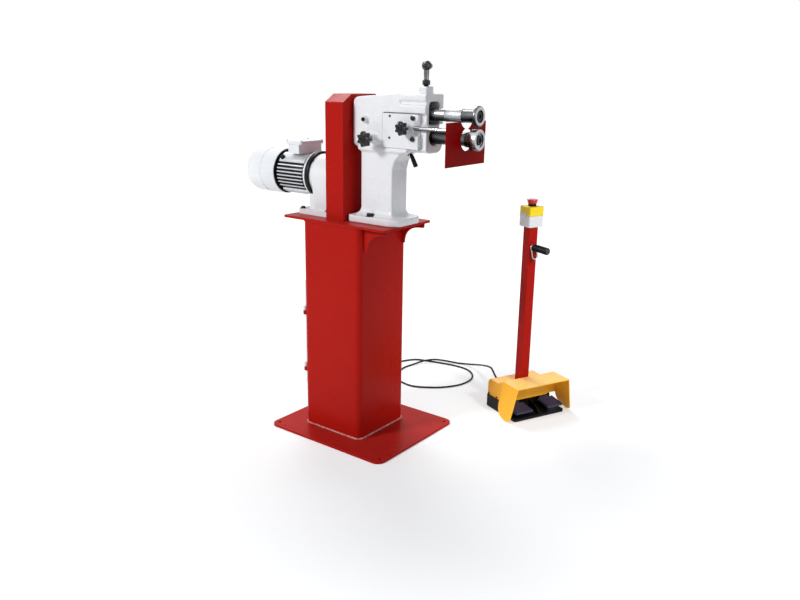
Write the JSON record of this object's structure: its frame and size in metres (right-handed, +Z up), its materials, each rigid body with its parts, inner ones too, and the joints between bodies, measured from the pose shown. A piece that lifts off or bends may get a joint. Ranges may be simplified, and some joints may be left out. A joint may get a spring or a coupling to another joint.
{
  "type": "bead roller",
  "caption": "Motor-driven bead roller on a floor stand, with a chain guard, a cast head carrying forming rolls, a screw-down upper shaft and a foot-pedal console.",
  "frame": {"origin": "centre of the base plate's underside, on the floor", "axes": "+Z up, +X towards the rolls, +Y towards the far side of the machine, where the foot console stands"},
  "size_m": [1.044, 0.9601, 1.258],
  "materials": {
    "red_paint": "gloss red paint, slightly wavy",
    "white_casting": "satin white paint on cast iron",
    "grey_casting": "satin grey paint",
    "light_grey_shell": "smooth light grey paint",
    "finned_alloy": "cast fins",
    "bright_steel": "ground and bright",
    "dark_steel": "blackened",
    "bronze": "turned",
    "black_plastic": "fine moulded grain",
    "black_rubber": "ribbed",
    "blue_black_plastic": "ribbed tread",
    "yellow_shell": "moulded shell",
    "yellow_lid": "moulded lid",
    "pale_grey_plastic": "moulded box",
    "red_plastic": "mushroom head",
    "bright_chrome": "plated"
  },
  "bodies": {
    "root": {"base_plate": "red_paint", "column": "red_paint", "gusset_near": "red_paint", "gusset_far": "red_paint", "top_plate": "red_paint", "door_hinge_upper": "red_paint", "door_hinge_lower": "red_paint", "chain_guard": "red_paint", "guard_back": "red_paint", "frame_casting": "white_casting", "casting_bolt_near": "dark_steel", "casting_bolt_far": "dark_steel", "rod_clamp_plate": "white_casting", "drive_chain": "dark_steel", "lower_front_bush": "bronze", "gearbox_housing": "light_grey_shell", "motor_housing": "finned_alloy", "fan_cowl": "light_grey_shell", "terminal_box": "light_grey_shell", "terminal_box_lid": "light_grey_shell", "pedal_base": "black_plastic", "pedal_divider": "bright_steel", "pedal_hood": "yellow_shell", "pedal_post": "red_paint", "estop_box": "pale_grey_plastic", "estop_lid": "yellow_lid", "grip_bracket": "bright_chrome", "grip_sleeve": "black_rubber", "control_gland": "black_plastic", "console_gland": "black_plastic", "control_cord": "black_rubber"},
    "door": {"service_door": "light_grey_shell"},
    "arm": {"swing_arm": "grey_casting", "upper_front_bush": "bronze"},
    "upper_train": {"upper_shaft": "bright_steel", "upper_gear": "dark_steel", "upper_sleeve": "bright_steel", "upper_roll": "dark_steel", "upper_roll_bolt": "dark_steel"},
    "lower_train": {"lower_shaft": "bright_steel", "lower_gear": "dark_steel", "driven_sprocket": "dark_steel", "lower_roll": "bright_steel", "lower_roll_bolt": "dark_steel"},
    "output_train": {"output_shaft": "bright_steel", "drive_sprocket": "dark_steel"},
    "motor_rotor": {"rotor": "bright_steel", "cooling_fan": "black_plastic"},
    "screw_pad": {"thrust_pad": "dark_steel"},
    "screw": {"pressure_screw": "dark_steel", "stop_nut": "dark_steel", "tommy_bar": "black_plastic"},
    "sheet_stop": {"stop_plate": "red_paint", "stop_rod": "bright_steel"},
    "rod_knob": {"rod_clamp_knob": "black_plastic"},
    "side_knob": {"side_clamp_knob": "black_plastic"},
    "lever": {"lock_lever": "black_rubber"},
    "left_pedal": {"pedal_left": "blue_black_plastic"},
    "right_pedal": {"pedal_right": "blue_black_plastic"},
    "stop_button": {"estop_button": "red_plastic"}
  },
  "joints": [
    {"name": "motor_spin", "type": "hinge", "parent": "root", "child": "motor_rotor", "pos_m": [-0.27, 0, 0.8811], "axis": [1, 0, 0], "continuous": true, "deforming": ["drive_chain"]},
    {"name": "output_spin", "type": "hinge", "parent": "root", "child": "output_train", "pos_m": [-0.0665, 0, 0.8811], "axis": [1, 0, 0], "continuous": true},
    {"name": "lower_spin", "type": "hinge", "parent": "root", "child": "lower_train", "pos_m": [0.2, 0, 1.0335], "axis": [1, 0, 0], "continuous": true},
    {"name": "arm_tilt", "type": "hinge", "parent": "root", "child": "arm", "pos_m": [0.002, 0, 1.1015], "axis": [0, -1, 0], "range_deg": [-0.66, 1.18]},
    {"name": "upper_spin", "type": "hinge", "parent": "arm", "child": "upper_train", "pos_m": [0.2, 0, 1.1015], "axis": [1, 0, 0], "continuous": true},
    {"name": "pad_lift", "type": "slide", "parent": "root", "child": "screw_pad", "axis": [0, 0, 1], "range_m": [-0.0028, 0.00502]},
    {"name": "pressure_screw_turn", "type": "hinge", "parent": "screw_pad", "child": "screw", "pos_m": [0.247, 0, 1.19], "axis": [0, 0, 1], "range_deg": [-400, 720]},
    {"name": "stop_slide", "type": "slide", "parent": "root", "child": "sheet_stop", "axis": [1, 0, 0], "range_m": [-0.06, 0.02]},
    {"name": "rod_knob_turn", "type": "hinge", "parent": "root", "child": "rod_knob", "pos_m": [0.213, -0.07, 1.059], "axis": [0, 1, 0], "range_deg": [-360, 0]},
    {"name": "side_knob_turn", "type": "hinge", "parent": "root", "child": "side_knob", "pos_m": [0.084, -0.09, 1.021], "axis": [0, 1, 0], "range_deg": [-360, 0]},
    {"name": "lock_lever_swing", "type": "hinge", "parent": "root", "child": "lever", "pos_m": [0.183, 0.01, 0.984], "axis": [0, -1, 0], "range_deg": [-15, 20]},
    {"name": "door_swing", "type": "hinge", "parent": "root", "child": "door", "pos_m": [-0.1693, -0.111, 0.318], "axis": [0, 0, 1], "range_deg": [0, 110]},
    {"name": "left_pedal_press", "type": "hinge", "parent": "root", "child": "left_pedal", "pos_m": [0.37231, 0.43593, 0.035], "axis": [0.4147, 0.91, 0], "range_deg": [0, 8], "stiffness_Nm_per_rad": 2, "springref_deg": -14.32},
    {"name": "right_pedal_press", "type": "hinge", "parent": "root", "child": "right_pedal", "pos_m": [0.43078, 0.56423, 0.035], "axis": [0.4147, 0.91, 0], "range_deg": [0, 8], "stiffness_Nm_per_rad": 2, "springref_deg": -14.32},
    {"name": "stop_button_press", "type": "slide", "parent": "root", "child": "stop_button", "axis": [0, 0, -1], "range_m": [0, 0.006], "stiffness_N_per_m": 800, "springref_m": -0.005}
  ],
  "couplings": [
    {"joint": "output_spin", "follows": "motor_spin", "ratio": 0.025},
    {"joint": "lower_spin", "follows": "motor_spin", "ratio": 0.025},
    {"joint": "upper_spin", "follows": "motor_spin", "ratio": -0.025},
    {"joint": "pad_lift", "follows": "pressure_screw_turn", "m_per_rad": 0.00039789},
    {"joint": "arm_tilt", "follows": "pressure_screw_turn", "ratio": 0.001624}
  ]
}
